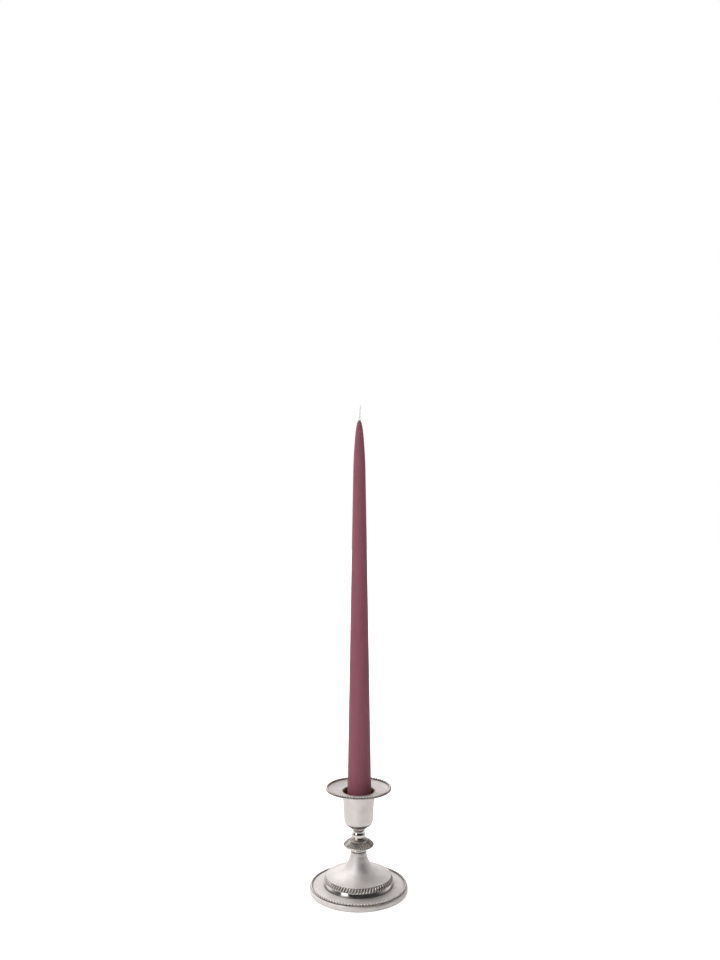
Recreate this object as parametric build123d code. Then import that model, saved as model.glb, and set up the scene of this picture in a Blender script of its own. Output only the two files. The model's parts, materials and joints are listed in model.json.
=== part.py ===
"""Silver-plated candlestick with a lift-out drip pan and a tapered candle.

Millimetres, +Z up. The origin is the centre of the felt under the foot, where it
meets the table. Every piece is turned about Z, so most outlines below are drawn
as (radius, height) and spun once round.
"""

import os
from math import cos, pi, radians, sin, tau

from build123d import *

# ---- candle ----
candle_radius = 11.65  # at the butt
candle_length = 373.6  # butt to the end of the wax
candle_tip = 46.0  # length of the rounded tip
candle_taper = 0.0177  # radius lost per mm of length
wick_radius = 1.0
wick_stand = 14.6  # bare wick above the wax
wick_lean = 0.7  # how far the bare wick leans to one side
candle_offset = 0.7  # the candle stands to one side in its loose sleeve

# ---- lift-out nozzle: drip pan, its beading, and the sleeve that holds the candle ----
sleeve_wall = 0.45
sleeve_flare = 1.6  # mouth radius less floor radius
pan_radius = 31.2
pan_sheet = 0.8
pan_dish = 2.2  # rise of the pan from its hole to its rim
pan_lip = 1.3  # radius of the turned edge round the hole
pan_collar = 1.4  # how far the hole's edge reaches down to meet the sleeve
pan_edge = 0.7  # thickness of the rim at its outer edge
pan_rim_width = 2.6  # flat rim that carries the beads
pan_bead_radius = 1.1
pan_bead_count = 72

# ---- fits ----
candle_clearance = 0.95  # round the candle's butt when it stands central
nozzle_clearance = 0.2  # between the sleeve's mouth and the cup
seat_gap = 0.1  # under a piece that only rests in place
rod_clearance = 0.2
thread_gap = 0.05
cover_clearance = 0.2
sleeve_floor_gap = 0.35  # between the sleeve's floor and the rod's end
spigot_clearance = 0.1

# ---- cup ----
cup_height = 28.7
cup_wall = 0.6
cup_taper = 1.7  # mouth radius less shoulder radius
cup_shoulder = 2.9  # height of the rounded shoulder at the foot of the cup
cup_shoulder_in = 0.85  # how far the shoulder turns in
cup_floor = 1.2

# ---- stem, from the foot up ----
waist_radius = 5.9
cup_mount_height = 10.2
neck_radius = 6.4
neck_ring_height = 1.7
groove_height = 0.4
groove_depth = 0.6
knop_radius = 14.5
knop_over = 8.3  # rounded upper half
knop_under = 3.0  # shallow lower half
knop_flute_count = 48
knop_flute_radius = 0.62
knop_flute_twist = 13.0  # degrees from the inner end to the rim
knop_flute_start = 9.2  # radius where the flutes begin
collar_radius = 7.7
collar_height = 2.4
reveal_height = 0.6  # dark gap between collar and pedestal
reveal_depth = 0.95
pedestal_height = 22.3
pedestal_top_radius = 7.7
pedestal_radius = 30.7
pedestal_wall = 1.3
spigot_height = 0.9  # ring under the pedestal that centres it in the fluted band

# ---- foot ----
foot_radius = 46.2
foot_sheet = 1.2
foot_height = 4.9  # top of the outer rim
foot_bead_seat = 0.3  # seat of the beads above the outer rim
foot_inner_rise = 0.8  # plate just inside the beads, above the outer rim
foot_crown = 1.1  # further rise of the plate from there to the step
foot_bead_radius = 1.15
foot_bead_count = 96
foot_rim_width = 0.8
step_radius = 33.2
step_height = 3.4
step_lean = 0.85  # the step's wall leans in, so that it mirrors the room and not the table
band_height = 4.3
band_width = 5.6  # radial width of the step and of the fluted band
band_bulge = 0.65
flute_count = 72
flute_radius = 0.95
flute_twist = 3.4  # degrees from the lower end to the upper
felt_thickness = 0.9
felt_proud = 0.4  # how far the felt stands below the skirt
cover_thickness = 0.6
felt_inset = 0.4  # edge of the felt inside the cover's edge
opening_inset = 2.4  # edge of the hole in the foot plate inside the fluted band
plate_corner = 0.6  # bevel between the skirt and the plate, inside
rim_corner = 1.0  # height of the rounded shoulder of the outer rim
bead_gap = 0.1  # beside the beads in their channel

# ---- clamping parts ----
rod_radius = 2.5
rod_end = 1.0  # rod past the nut in the foot
nut_flats = 8.0
nut_height = 4.0
thin_nut_height = 2.7
thin_nut_end = 0.5  # rod past the thin nut in the cup
rod_chamfer = 0.4
washer_radius = 5.0
washer_height = 1.0
ballast_opening_gap = 0.3
ballast_rise = 9.0  # ballast hub above the underside of the foot plate
ballast_chamfer = 1.5
ballast_edge_gap = 1.6  # between the ballast's flange and the skirt
pocket_clearance = 0.8  # below the rod's lower end, and round the washer

# ---- levels worked out from the sizes above ----
foot_step_z = foot_height + foot_inner_rise + foot_crown
band_z = foot_step_z + step_height
pedestal_z = band_z + band_height
reveal_z = pedestal_z + pedestal_height
collar_z = reveal_z + reveal_height
knop_z = collar_z + collar_height
equator_z = knop_z + knop_under
neck_z = equator_z + knop_over
cup_mount_z = neck_z + neck_ring_height
cup_z = cup_mount_z + groove_height + cup_mount_height
cup_top = cup_z + cup_height
pan_z = cup_top + seat_gap
cup_nut_z = cup_z + cup_floor + washer_height
rod_top = cup_nut_z + thin_nut_height + thin_nut_end
sleeve_floor_z = rod_top + sleeve_floor_gap + sleeve_wall
sleeve_depth = pan_z - sleeve_floor_z
candle_z = sleeve_floor_z + seat_gap

# ---- radii worked out from the sizes above ----
bore_radius = rod_radius + rod_clearance
sleeve_floor_bore = candle_radius + candle_clearance
sleeve_mouth_bore = sleeve_floor_bore + sleeve_flare
sleeve_mouth_radius = sleeve_mouth_bore + sleeve_wall
cup_mouth_bore = sleeve_mouth_radius + nozzle_clearance
cup_mouth_radius = cup_mouth_bore + cup_wall
cup_shoulder_radius = cup_mouth_radius - cup_taper
cup_base_radius = cup_shoulder_radius - cup_shoulder_in
band_inner_radius = step_radius - band_width
foot_opening = band_inner_radius - opening_inset
skirt_inner_radius = foot_radius - foot_sheet
foot_bead_ring = foot_radius - foot_rim_width - foot_bead_radius - bead_gap / 2
pan_bead_ring = pan_radius - pan_rim_width / 2
plate_under_z = foot_height - foot_sheet
foot_bead_z = foot_height + foot_bead_seat
ballast_low = felt_thickness + cover_thickness + cover_clearance
ballast_top = plate_under_z + ballast_rise
rod_low = ballast_low + pocket_clearance
pocket_top = rod_low + rod_end + nut_height + washer_height
base_washer_z = pocket_top - washer_height


def plate_under(radius):
    """Height of the foot plate's sloping underside, parallel to its top."""
    outer = skirt_inner_radius - plate_corner
    share = (outer - radius) / (outer - foot_opening)
    return plate_under_z + share * (foot_step_z - foot_sheet - plate_under_z)


def turned(*edges):
    """Spin a closed outline, drawn as (radius, height), once round Z."""
    return revolve(Plane.XZ * make_face([e for part in edges for e in part.edges()]), Axis.Z)


def disc(radius, low, high, bore=0.0):
    """A flat round piece, with a hole where bore is given."""
    outline = Polyline((bore, low), (radius, low), (radius, high), (bore, high), (bore, low))
    return turned(outline)


def on_circle(radius, angle, height):
    """A point at an angle in degrees round the stick."""
    return Vector(radius * cos(radians(angle)), radius * sin(radians(angle)), height)


def flute_cutter(low, high, low_size, high_size):
    """A tapered rod with a round lower end, to cut one flute."""
    axis = high - low
    rod = Cone(low_size, high_size, axis.length, align=(Align.CENTER, Align.CENTER, Align.MIN))
    return Plane(origin=low, z_dir=axis) * (rod + Sphere(low_size))


def beading(ring_radius, level, bead_radius, count):
    """A ring of round beads, half sunk in a thin flat wire."""
    half_width = bead_radius * 0.8
    wire = disc(ring_radius + half_width, level, level + bead_radius * 0.55, ring_radius - half_width)
    bead = Pos(0, 0, level + bead_radius * 0.75) * Sphere(bead_radius)
    bead -= Pos(0, 0, level - bead_radius) * Box(4 * bead_radius, 4 * bead_radius, 2 * bead_radius)
    return wire + [place * bead for place in PolarLocations(ring_radius, count)]


def hexagon_nut(low, height):
    blank = extrude(RegularPolygon(nut_flats / 2, 6, major_radius=False), height)
    return Pos(0, 0, low) * (blank - Cylinder(rod_radius + thread_gap, 3 * height))


# ---- foot ----

def foot_plate():
    channel_out = foot_radius - foot_rim_width
    channel_in = foot_bead_ring - foot_bead_radius - bead_gap
    shoulder_z = foot_height - rim_corner
    skirt_low = (foot_radius - 0.15, felt_proud)
    plate = Polyline(
        (foot_opening, plate_under(foot_opening)),
        (foot_opening, foot_step_z),
        (step_radius, foot_step_z),
        (channel_in, foot_height + foot_inner_rise),
        (channel_in, foot_bead_z),
        (channel_out - 0.2, foot_bead_z),
        (channel_out, foot_height - 0.2),
        (channel_out + 0.25, foot_height),
    )
    shoulder = ThreePointArc(
        (channel_out + 0.25, foot_height),
        (foot_radius - 0.15, foot_height - 0.35),
        (foot_radius, shoulder_z),
    )
    skirt = ThreePointArc(
        (foot_radius, shoulder_z),
        (foot_radius + 0.04, foot_height * 0.5),
        skirt_low,
    )
    inside = Polyline(
        skirt_low,
        (skirt_inner_radius, felt_proud),
        (skirt_inner_radius, plate_under_z - plate_corner),
        (skirt_inner_radius - plate_corner, plate_under_z),
        (foot_opening, plate_under(foot_opening)),
    )
    return turned(plate, shoulder, skirt, inside)


def foot_bead_border():
    return beading(foot_bead_ring, foot_bead_z, foot_bead_radius, foot_bead_count)


def step_ring():
    """The plain polished wall between the plate and the flutes."""
    low = (step_radius, foot_step_z)
    high = (step_radius - step_lean, band_z)
    inner = band_inner_radius
    return turned(Polyline(low, high, (inner, band_z), (inner, foot_step_z), low))


def fluted_band():
    """The quarter-round band, with slanted flutes cut round it."""
    low = Vector(step_radius - step_lean, band_z)
    high = Vector(pedestal_radius, pedestal_z)
    across = high - low
    outward = Vector(across.Y, -across.X).normalized()
    middle = (low + high) / 2 + outward * band_bulge
    wall = ThreePointArc((low.X, low.Y), (middle.X, middle.Y), (high.X, high.Y))
    rest = Polyline(
        (high.X, high.Y),
        (band_inner_radius, pedestal_z),
        (band_inner_radius, band_z),
        (low.X, low.Y),
    )
    band = turned(wall, rest)
    start = low + across * 0.22 + outward * (band_bulge + 0.1)
    end = high + across * 0.12 + outward * (band_bulge + 0.25)
    cutters = []
    for place in range(flute_count):
        angle = 360 * place / flute_count
        cutters.append(
            flute_cutter(
                on_circle(start.X, angle, start.Y),
                on_circle(end.X, angle + flute_twist * 1.1, end.Y),
                flute_radius,
                flute_radius * pedestal_radius / step_radius,
            )
        )
    return band - cutters


def pedestal():
    """The trumpet: a thin spun shell that thickens into a solid neck."""
    top = reveal_z
    rise = pedestal_height
    neck = pedestal_top_radius
    flare = Spline(
        (neck - 0.2, top - 2.0),
        (neck + 1.05, top - rise * 0.26),
        (neck + 2.7, top - rise * 0.45),
        (neck + 8.0, top - rise * 0.75),
        (pedestal_radius - 0.3, pedestal_z + 0.55),
        tangents=[(0, -1), (1, -0.06)],
    )
    lip = ThreePointArc((neck - 0.2, top - 2.0), (neck + 0.05, top - 0.9), (neck - 0.25, top))
    outer_edge = ThreePointArc(
        (pedestal_radius - 0.3, pedestal_z + 0.55),
        (pedestal_radius - 0.02, pedestal_z + 0.35),
        (pedestal_radius, pedestal_z),
    )
    spigot = band_inner_radius - spigot_clearance
    under = Polyline(
        (pedestal_radius, pedestal_z),
        (spigot, pedestal_z),
        (spigot, pedestal_z - spigot_height),
        (spigot - pedestal_wall, pedestal_z - spigot_height),
    )
    hollow = Spline(
        (spigot - pedestal_wall, pedestal_z - spigot_height),
        (neck + 7.2, top - rise * 0.75 - pedestal_wall),
        (neck + 0.6, top - rise * 0.5),
        (bore_radius + 1.6, top - rise * 0.36),
    )
    bore = Polyline(
        (bore_radius + 1.6, top - rise * 0.36),
        (bore_radius, top - rise * 0.36),
        (bore_radius, top),
        (neck - 0.25, top),
    )
    return turned(lip, flare, outer_edge, under, hollow, bore)


# ---- stem ----

def pedestal_collar():
    """A round-edged ring on a narrower spigot, which leaves a dark gap below it."""
    spigot = pedestal_top_radius - reveal_depth
    edge = ThreePointArc(
        (collar_radius - 0.45, collar_z),
        (collar_radius, collar_z + collar_height * 0.45),
        (collar_radius - 0.7, knop_z),
    )
    rest = Polyline(
        (collar_radius - 0.7, knop_z),
        (bore_radius, knop_z),
        (bore_radius, reveal_z),
        (spigot, reveal_z),
        (spigot, collar_z),
        (collar_radius - 0.45, collar_z),
    )
    return turned(edge, rest)


def knop_base():
    """The smooth underside of the knop."""
    under = Spline(
        (collar_radius - 0.4, knop_z),
        (knop_radius - 2.3, knop_z + knop_under * 0.43),
        (knop_radius - 0.15, equator_z - 0.3),
        tangents=[(1, 0.15), (0.45, 1)],
    )
    rest = Polyline(
        (knop_radius - 0.15, equator_z - 0.3),
        (knop_radius - 0.15, equator_z),
        (bore_radius, equator_z),
        (bore_radius, knop_z),
        (collar_radius - 0.4, knop_z),
    )
    return turned(under, rest)


def knop_cap():
    """The domed upper half of the knop, fluted outside its smooth crown."""
    over = Spline(
        (knop_radius, equator_z),
        (knop_radius - 1.25, equator_z + knop_over * 0.21),
        (knop_radius - 3.8, equator_z + knop_over * 0.46),
        (knop_radius - 6.8, equator_z + knop_over * 0.7),
        (neck_radius + 0.15, equator_z + knop_over * 0.88),
        (neck_radius, neck_z),
        tangents=[(-0.25, 1), (0.02, 1)],
    )
    rest = Polyline(
        (neck_radius, neck_z),
        (bore_radius, neck_z),
        (bore_radius, equator_z),
        (knop_radius, equator_z),
    )
    cap = turned(over, rest)
    inner_z = equator_z + knop_over * 0.62
    cutters = []
    for place in range(knop_flute_count):
        angle = 360 * place / knop_flute_count
        cutters.append(
            flute_cutter(
                on_circle(knop_flute_start + 0.3, angle + knop_flute_twist, inner_z),
                on_circle(knop_radius + 0.9, angle, equator_z - 0.5),
                knop_flute_radius * 0.6,
                knop_flute_radius,
            )
        )
    return cap - cutters


def neck_ring():
    edge = ThreePointArc(
        (neck_radius, neck_z),
        (neck_radius - 0.08, neck_z + neck_ring_height * 0.4),
        (neck_radius + 0.05, cup_mount_z),
    )
    rest = Polyline(
        (neck_radius + 0.05, cup_mount_z),
        (bore_radius, cup_mount_z),
        (bore_radius, neck_z),
        (neck_radius, neck_z),
    )
    return turned(edge, rest)


def cup_mount():
    """The waisted, polished flare that carries the cup."""
    base = cup_mount_z + groove_height
    flare = Spline(
        (neck_radius, base),
        (waist_radius, base + cup_mount_height * 0.235),
        (waist_radius + 1.6, base + cup_mount_height * 0.505),
        (cup_base_radius - 1.55, base + cup_mount_height * 0.794),
        (cup_base_radius, cup_z),
        tangents=[(-0.2, 1), (0.55, 1)],
    )
    rest = Polyline(
        (cup_base_radius, cup_z),
        (bore_radius, cup_z),
        (bore_radius, cup_mount_z),
        (neck_radius - groove_depth, cup_mount_z),
        (neck_radius - groove_depth, base),
        (neck_radius, base),
    )
    return turned(flare, rest)


def socket_cup():
    """The satin cup: an open shell with a flat floor."""
    shoulder_z = cup_z + cup_shoulder
    shoulder = ThreePointArc(
        (cup_base_radius, cup_z),
        (cup_shoulder_radius - cup_shoulder_in * 0.3, cup_z + cup_shoulder * 0.48),
        (cup_shoulder_radius, shoulder_z),
    )
    wall = Polyline(
        (cup_shoulder_radius, shoulder_z),
        (cup_mouth_radius, cup_top),
        (cup_mouth_bore, cup_top),
        (cup_shoulder_radius - cup_wall, shoulder_z),
        (cup_base_radius - cup_wall, cup_z + cup_floor),
        (bore_radius, cup_z + cup_floor),
        (bore_radius, cup_z),
        (cup_base_radius, cup_z),
    )
    return turned(shoulder, wall)


# ---- lift-out nozzle ----

def nozzle_sleeve():
    """The tapered tube that hangs under the pan and holds the candle's butt."""
    floor_low = sleeve_floor_z - sleeve_wall
    top = pan_z - pan_collar
    share = (top - sleeve_floor_z) / sleeve_depth
    top_bore = sleeve_floor_bore + sleeve_flare * share
    outline = Polyline(
        (0, floor_low),
        (sleeve_floor_bore + sleeve_wall, floor_low),
        (top_bore + sleeve_wall, top),
        (top_bore, top),
        (sleeve_floor_bore, sleeve_floor_z),
        (0, sleeve_floor_z),
        (0, floor_low),
    )
    return turned(outline)


def drip_pan():
    """A shallow dish whose hole is turned down into a short collar."""
    collar_low = pan_z - pan_collar
    share = (collar_low - sleeve_floor_z) / sleeve_depth
    low_bore = sleeve_floor_bore + sleeve_flare * share
    top = pan_z + pan_sheet
    rim_z = top + pan_dish
    rim_in = pan_radius - pan_rim_width
    lip = ThreePointArc(
        (sleeve_mouth_bore, top - pan_lip),
        (sleeve_mouth_bore + pan_lip * 0.29, top - pan_lip * 0.29),
        (sleeve_mouth_bore + pan_lip, top),
    )
    dish = Spline(
        (sleeve_mouth_bore + pan_lip, top),
        (sleeve_mouth_bore + (rim_in - sleeve_mouth_bore) * 0.6, top + pan_dish * 0.42),
        (rim_in, rim_z),
        tangents=[(1, 0), (1, 0.2)],
    )
    rim = Polyline((rim_in, rim_z), (pan_radius - 0.35, rim_z))
    edge = ThreePointArc(
        (pan_radius - 0.35, rim_z),
        (pan_radius, rim_z - pan_edge / 2),
        (pan_radius - 0.35, rim_z - pan_edge),
    )
    under = Spline(
        (pan_radius - 0.35, rim_z - pan_edge),
        (sleeve_mouth_bore + (rim_in - sleeve_mouth_bore) * 0.6, pan_z + pan_dish * 0.42),
        (cup_mouth_radius + 0.6, pan_z),
        tangents=[(-1, -0.1), (-1, 0)],
    )
    collar = Polyline(
        (cup_mouth_radius + 0.6, pan_z),
        (sleeve_mouth_radius, pan_z),
        (low_bore + sleeve_wall, collar_low),
        (low_bore, collar_low),
        (sleeve_mouth_bore, top - pan_lip),
    )
    return turned(lip, dish, rim, edge, under, collar)


def pan_bead_border():
    rim_z = pan_z + pan_sheet + pan_dish
    return beading(pan_bead_ring, rim_z, pan_bead_radius, pan_bead_count)


# ---- candle ----

def candle_wax():
    """A long taper with a rounded tip, bored through for its wick."""
    shoulder = candle_length - candle_tip
    shoulder_radius = candle_radius - candle_taper * shoulder
    side = Line((candle_radius, candle_z + 0.6), (shoulder_radius, candle_z + shoulder))
    tip = Spline(
        (shoulder_radius, candle_z + shoulder),
        (shoulder_radius - 1.55, candle_z + candle_length - 18.0),
        (wick_radius + 1.6, candle_z + candle_length - 4.6),
        (wick_radius, candle_z + candle_length),
        tangents=[(-candle_taper, 1), (-0.5, 1)],
    )
    rest = Polyline(
        (wick_radius, candle_z + candle_length),
        (wick_radius, candle_z),
        (candle_radius - 0.6, candle_z),
        (candle_radius, candle_z + 0.6),
    )
    return Pos(candle_offset, 0, 0) * turned(side, tip, rest)


def candle_wick():
    """The wick, straight through the wax and leaning a little above it."""
    wax_top = candle_z + candle_length
    inside = Pos(0, 0, candle_z + 2) * Cylinder(
        wick_radius, candle_length - 2, align=(Align.CENTER, Align.CENTER, Align.MIN)
    )
    route = Spline(
        (0, 0, wax_top),
        (wick_lean * 0.2, 0, wax_top + wick_stand * 0.5),
        (wick_lean, 0, wax_top + wick_stand),
        tangents=[(0, 0, 1), (0.1, 0, 1)],
    )
    bare = sweep(Plane((0, 0, wax_top)) * Circle(wick_radius), path=route)
    return Pos(candle_offset, 0, 0) * (inside + bare)


# ---- clamping parts and base closure ----

def ballast_disc():
    """An iron weight that the rod pulls up against the foot plate."""
    hub = foot_opening - ballast_opening_gap
    flange = skirt_inner_radius - ballast_edge_gap
    pocket = washer_radius + pocket_clearance
    outline = Polyline(
        (pocket, ballast_low),
        (flange, ballast_low),
        (flange, plate_under(flange)),
        (hub, plate_under(hub)),
        (hub, ballast_top - ballast_chamfer),
        (hub - ballast_chamfer, ballast_top),
        (bore_radius, ballast_top),
        (bore_radius, pocket_top),
        (pocket, pocket_top),
        (pocket, ballast_low),
    )
    return turned(outline)


def base_cover():
    low = felt_thickness
    return disc(skirt_inner_radius - cover_clearance, low, low + cover_thickness)


def felt_pad():
    pad = disc(skirt_inner_radius - cover_clearance - felt_inset, 0, felt_thickness)
    return fillet(pad.edges().sort_by(Axis.Z)[:1], 0.25)


def tie_rod():
    blank = disc(rod_radius, rod_low, rod_top)
    return chamfer(blank.edges().filter_by(GeomType.CIRCLE), rod_chamfer)


PIECES = {
    "felt_pad": felt_pad,
    "base_cover": base_cover,
    "ballast_disc": ballast_disc,
    "foot_plate": foot_plate,
    "foot_bead_border": foot_bead_border,
    "step_ring": step_ring,
    "fluted_band": fluted_band,
    "pedestal": pedestal,
    "pedestal_collar": pedestal_collar,
    "knop_base": knop_base,
    "knop_cap": knop_cap,
    "neck_ring": neck_ring,
    "cup_mount": cup_mount,
    "socket_cup": socket_cup,
    "tie_rod": tie_rod,
    "base_nut": lambda: hexagon_nut(base_washer_z - nut_height, nut_height),
    "base_washer": lambda: disc(washer_radius, base_washer_z, pocket_top, bore_radius),
    "cup_nut": lambda: hexagon_nut(cup_nut_z, thin_nut_height),
    "cup_washer": lambda: disc(washer_radius, cup_z + cup_floor, cup_nut_z, bore_radius),
    "nozzle_sleeve": nozzle_sleeve,
    "drip_pan": drip_pan,
    "pan_bead_border": pan_bead_border,
    "candle_wax": candle_wax,
    "candle_wick": candle_wick,
}

os.makedirs("parts", exist_ok=True)
for name, make in PIECES.items():
    export_step(make(), f"parts/{name}.step")
    print("wrote", name)
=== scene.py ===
"""Silver-plated candlestick: the visible pieces, their finishes, and a plain studio round them.

Every piece is drawn as an outline in radius and height and spun about the stick's axis,
then finished with edit-mode operators and modifiers. Lengths in the code are metres.
"""

import json
from math import atan2, cos, hypot, pi, radians, sin, sqrt, tau

import bpy
from bpy.props import FloatProperty, FloatVectorProperty, IntProperty, PointerProperty
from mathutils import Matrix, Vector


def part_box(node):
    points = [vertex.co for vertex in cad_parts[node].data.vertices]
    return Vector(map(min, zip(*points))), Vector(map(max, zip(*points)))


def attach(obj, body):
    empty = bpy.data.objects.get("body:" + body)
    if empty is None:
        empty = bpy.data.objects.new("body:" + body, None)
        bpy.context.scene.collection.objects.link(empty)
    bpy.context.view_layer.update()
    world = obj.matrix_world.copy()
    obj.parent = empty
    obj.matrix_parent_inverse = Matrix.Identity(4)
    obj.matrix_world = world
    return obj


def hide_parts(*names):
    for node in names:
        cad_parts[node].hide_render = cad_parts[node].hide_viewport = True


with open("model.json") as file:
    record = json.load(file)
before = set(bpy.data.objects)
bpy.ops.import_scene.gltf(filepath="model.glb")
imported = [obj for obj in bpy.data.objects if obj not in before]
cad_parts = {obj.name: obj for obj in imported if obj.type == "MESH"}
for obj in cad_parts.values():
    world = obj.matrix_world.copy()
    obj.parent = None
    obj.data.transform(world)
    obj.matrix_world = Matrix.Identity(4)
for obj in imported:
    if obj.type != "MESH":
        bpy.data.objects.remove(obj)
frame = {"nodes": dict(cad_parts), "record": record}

bl_info = {
    "name": "Silver Candlestick",
    "version": (1, 0, 0),
    "blender": (4, 5, 0),
    "location": "3D View > Sidebar > Candlestick",
    "description": "Builds the visible pieces of a silver-plated candlestick and its studio",
    "category": "Add Mesh",
}

MM = 0.001
BODY_OF = {
    node: body
    for body, nodes in frame["record"]["behaviour"]["bodies"].items()
    for node in nodes
}
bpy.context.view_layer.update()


def linear(text):
    """An sRGB hex colour as linear red, green and blue."""
    values = [int(text[i : i + 2], 16) / 255 for i in (1, 3, 5)]
    return tuple(v / 12.92 if v <= 0.04045 else ((v + 0.055) / 1.055) ** 2.4 for v in values)


class Span:
    """Radius, axis and lowest and highest level of a CAD node."""

    def __init__(self, node):
        low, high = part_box(node)
        self.radius = (high.x - low.x) / 2
        self.axis_x = (high.x + low.x) / 2
        self.low, self.high = low.z, high.z
        self.height = high.z - low.z

    def level(self, share):
        return self.low + self.height * share


# ---- settings


def length(title, text, default):
    """A length setting, given here in millimetres and kept in metres."""
    return FloatProperty(
        name=title, description=text, default=default * MM, min=0, subtype="DISTANCE", unit="LENGTH"
    )


def turn(title, text, default):
    return FloatProperty(name=title, description=text, default=radians(default), subtype="ANGLE")


def colour(title, text, default):
    return FloatVectorProperty(
        name=title, description=text, default=linear(default), size=3, min=0, max=1, subtype="COLOR"
    )


def count(title, text, default):
    return IntProperty(name=title, description=text, default=default, min=12)


def number(title, text, default):
    return FloatProperty(name=title, description=text, default=default)


class CandlestickSizes(bpy.types.PropertyGroup):
    """Sizes that the CAD boxes don't give."""

    sheet: length("Sheet", "Thickness of the spun foot and pedestal", 1.2)
    rim_width: length("Rim width", "Flat rim outside the beads of the foot", 0.8)
    rim_drop: length("Rim drop", "Outer rim of the foot below the seat of its beads", 0.3)
    bead_step: length("Bead step", "Plate inside the foot's beads above their seat", 0.5)
    bead_radius: length("Foot bead", "Radius of one bead on the foot", 1.15)
    bead_count: count("Foot beads", "Beads round the foot", 96)
    pan_bead_radius: length("Pan bead", "Radius of one bead on the drip pan", 1.1)
    pan_bead_count: count("Pan beads", "Beads round the pan", 72)
    band_width: length("Band width", "Width of the rings that carry the flutes", 5.6)
    flute_count: count("Flutes", "Flutes round the foot's band", 72)
    flute_depth: length("Flute depth", "Depth of one flute of the band", 0.62)
    flute_slant: turn("Flute slant", "Turn of a flute from its lower end to its top", 3.6)
    knop_flute_count: count("Knop flutes", "Flutes on the knop", 48)
    knop_flute_depth: length("Knop flute depth", "Depth of one flute of the knop", 0.42)
    knop_flute_slant: turn("Knop flute slant", "Turn of a knop flute from rim to crown", 13)
    knop_crown: length("Knop crown", "Radius of the smooth crown of the knop", 9.0)
    waist: length("Waist", "Radius of the narrowest part under the cup", 5.9)
    groove_height: length("Groove height", "Dark groove under the cup's mount", 0.4)
    groove_depth: length("Groove depth", "Depth of the dark groove", 0.6)
    reveal_height: length("Reveal height", "Dark gap under the pedestal's collar", 0.6)
    reveal_depth: length("Reveal depth", "How far the gap goes in", 0.95)
    bore: length("Bore", "Radius of the tie rod's hole through the stack", 2.7)
    cup_wall: length("Cup wall", "Wall of the cup", 0.6)
    cup_floor: length("Cup floor", "Floor of the cup", 1.2)
    cup_shoulder: length("Cup shoulder", "Height of the rounded shoulder of the cup", 2.9)
    cup_shoulder_out: length("Shoulder width", "How far the shoulder turns out", 0.85)
    pan_sheet: length("Pan sheet", "Thickness of the drip pan", 0.8)
    pan_edge: length("Pan edge", "Thickness of the pan's rim", 0.7)
    pan_lip: length("Pan lip", "Radius of the turned edge round the pan's hole", 1.3)
    sleeve_wall: length("Sleeve wall", "Wall of the brass sleeve", 0.45)
    candle_tip: length("Candle tip", "Length of the rounded tip of the wax", 46)


class CandlestickFinishes(bpy.types.PropertyGroup):
    """Colours of the finishes."""

    satin: colour("Satin silver", "Silver plate with a satin finish", "#E2DDDB")
    satin_worn: colour("Worn satin", "Satin silver where the air has dulled it", "#D0C9C6")
    polished: colour("Polished silver", "Mirror-polished silver plate", "#D6D1CD")
    # Dark brown of tarnished silver, also used as painted shade and painted dark reflection in
    # grooves, gaps and hollows
    tarnish_and_shade_tone: colour("Tarnish", "Dark film left in hollows by polishing", "#42362F")
    brass: colour("Brass", "Unplated brass inside the sleeve", "#A58A6C")
    brass_dark: colour("Dark brass", "Brass darkened by soot and age", "#6E523C")
    wax: colour("Wax", "Plum dye of the candle", "#87515D")
    wax_deep: colour("Deep wax", "Wax where the dye lies thicker", "#7A4552")
    cotton: colour("Cotton", "Waxed cotton of the wick", "#F1F4F2")
    cotton_shade: colour("Cotton shade", "Cotton between its fibres", "#CBCDCB")
    felt: colour("Felt", "Felt under the foot", "#24272A")
    iron: colour("Iron", "Grey skin of the cast ballast", "#4A4A4B")
    rust: colour("Rust", "Light rust on the ballast", "#6B4632")
    zinc: colour("Zinc", "Zinc plating of the fixings", "#B9BDC2")
    zinc_bloom: colour("Zinc bloom", "Duller bloom in the zinc", "#9A9EA6")
    steel: colour("Steel", "Cold-rolled sheet", "#8C8E91")
    steel_mark: colour("Rolling marks", "Lighter marks from the rolls", "#A8AAAD")
    floor: colour("Floor", "Pale studio floor", "#F4F3F2")
    floor_fibre: colour("Floor fibre", "Fibre in the floor's paper", "#E7E7E7")


class CandlestickStage(bpy.types.PropertyGroup):
    """The camera, the lights and the room round them."""

    distance: length("Camera distance", "From the stick's axis to the camera", 825.6)
    height: length("Camera height", "Camera above the table", 363.8)
    side: length("Camera side", "Camera to the right of the axis", 1.3)
    lens: number("Lens", "Focal length in millimetres", 32.48)
    tilt: turn("Camera tilt", "Camera's pitch from straight down", 91.56)
    key_power: number("Key light", "Power of the large left light", 3.6)
    top_power: number("Top light", "Power of the light overhead", 9.0)
    fill_power: number("Fill light", "Power of the front light", 3.2)
    ceiling_level: number("Ceiling", "Brightness above left", 2.3)
    ceiling_start: number("Ceiling edge", "Where the ceiling begins", 0.62)


# ---- outlines


def arc(start, middle, end, steps=8):
    """Points of a circular arc through three points."""
    (ax, ay), (bx, by), (cx, cy) = start, middle, end
    d = 2 * (ax * (by - cy) + bx * (cy - ay) + cx * (ay - by))
    a2, b2, c2 = ax * ax + ay * ay, bx * bx + by * by, cx * cx + cy * cy
    ux = (a2 * (by - cy) + b2 * (cy - ay) + c2 * (ay - by)) / d
    uy = (a2 * (cx - bx) + b2 * (ax - cx) + c2 * (bx - ax)) / d
    radius = hypot(ax - ux, ay - uy)
    first = atan2(ay - uy, ax - ux)
    sweep = (atan2(cy - uy, cx - ux) - first) % tau
    if (atan2(by - uy, bx - ux) - first) % tau > sweep:
        sweep -= tau
    return [
        (ux + radius * cos(first + sweep * i / steps), uy + radius * sin(first + sweep * i / steps))
        for i in range(steps + 1)
    ]


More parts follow.
